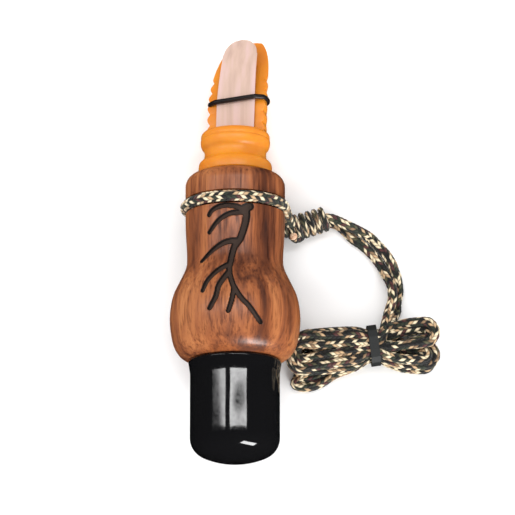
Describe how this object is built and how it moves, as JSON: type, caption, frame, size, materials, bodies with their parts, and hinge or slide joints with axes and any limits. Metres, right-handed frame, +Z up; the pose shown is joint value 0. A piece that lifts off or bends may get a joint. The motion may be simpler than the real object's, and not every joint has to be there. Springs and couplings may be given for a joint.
{
  "type": "grunt tube call",
  "caption": "Turned wooden call barrel with a vinyl end cap, a plastic mouthpiece with a banded reed, and a cord lanyard bundled beside it",
  "frame": {"origin": "bottom centre of the call's own box, on the surface it lies on, without the lanyard", "axes": "+Z up from the surface, +Y along the call towards the mouthpiece, +X towards the side where the lanyard's knot lies; the call's axis dips 5.3 degrees towards the mouthpiece"},
  "size_m": [0.0811, 0.132, 0.039],
  "materials": {
    "walnut": "satin oiled, grain along the axis",
    "black_vinyl": "gloss, dip moulded",
    "orange_plastic": "satin gloss, slightly translucent",
    "frosted_mylar": "frosted, translucent",
    "black_rubber": "smooth",
    "camo_cord": "braided, matt"
  },
  "bodies": {
    "barrel": {"barrel": "walnut", "lanyard_choker": "camo_cord", "lanyard_knot": "camo_cord", "lanyard_lead_outer": "camo_cord", "lanyard_lead_inner": "camo_cord", "lanyard_hank": "camo_cord", "hank_tie": "black_rubber"},
    "end_cap": {"end_cap": "black_vinyl"},
    "mouthpiece": {"mouthpiece_base": "orange_plastic", "tenon_seal_inner": "black_rubber", "tenon_seal_outer": "black_rubber"},
    "tone_board": {"tone_board": "orange_plastic", "reed_root": "frosted_mylar", "reed_wedge": "orange_plastic"},
    "reed_blade": {"reed_blade": "frosted_mylar"},
    "tuning_band": {"tuning_band": "black_rubber"}
  },
  "joints": [
    {"name": "cap_pull", "type": "slide", "parent": "barrel", "child": "end_cap", "axis": [0, -0.9957, 0.0926], "range_m": [0, 0.026]},
    {"name": "mouthpiece_pull", "type": "slide", "parent": "barrel", "child": "mouthpiece", "axis": [0, 0.9957, -0.0926], "range_m": [0, 0.024]},
    {"name": "tone_board_twist", "type": "hinge", "parent": "mouthpiece", "child": "tone_board", "pos_m": [0, 0, 0.01749], "axis": [0, 0.9957, -0.0926], "range_deg": [-90, 90]},
    {"name": "tuning_band_slide", "type": "slide", "parent": "tone_board", "child": "tuning_band", "axis": [0, 0.9957, -0.0926], "range_m": [-0.0065, 0.006]},
    {"name": "reed_flex", "type": "hinge", "parent": "tone_board", "child": "reed_blade", "pos_m": [-0.00027, 0.04617, 0.01396], "axis": [-0.9397, -0.0317, -0.3406], "range_deg": [0, 3], "stiffness_Nm_per_rad": 0.004}
  ]
}
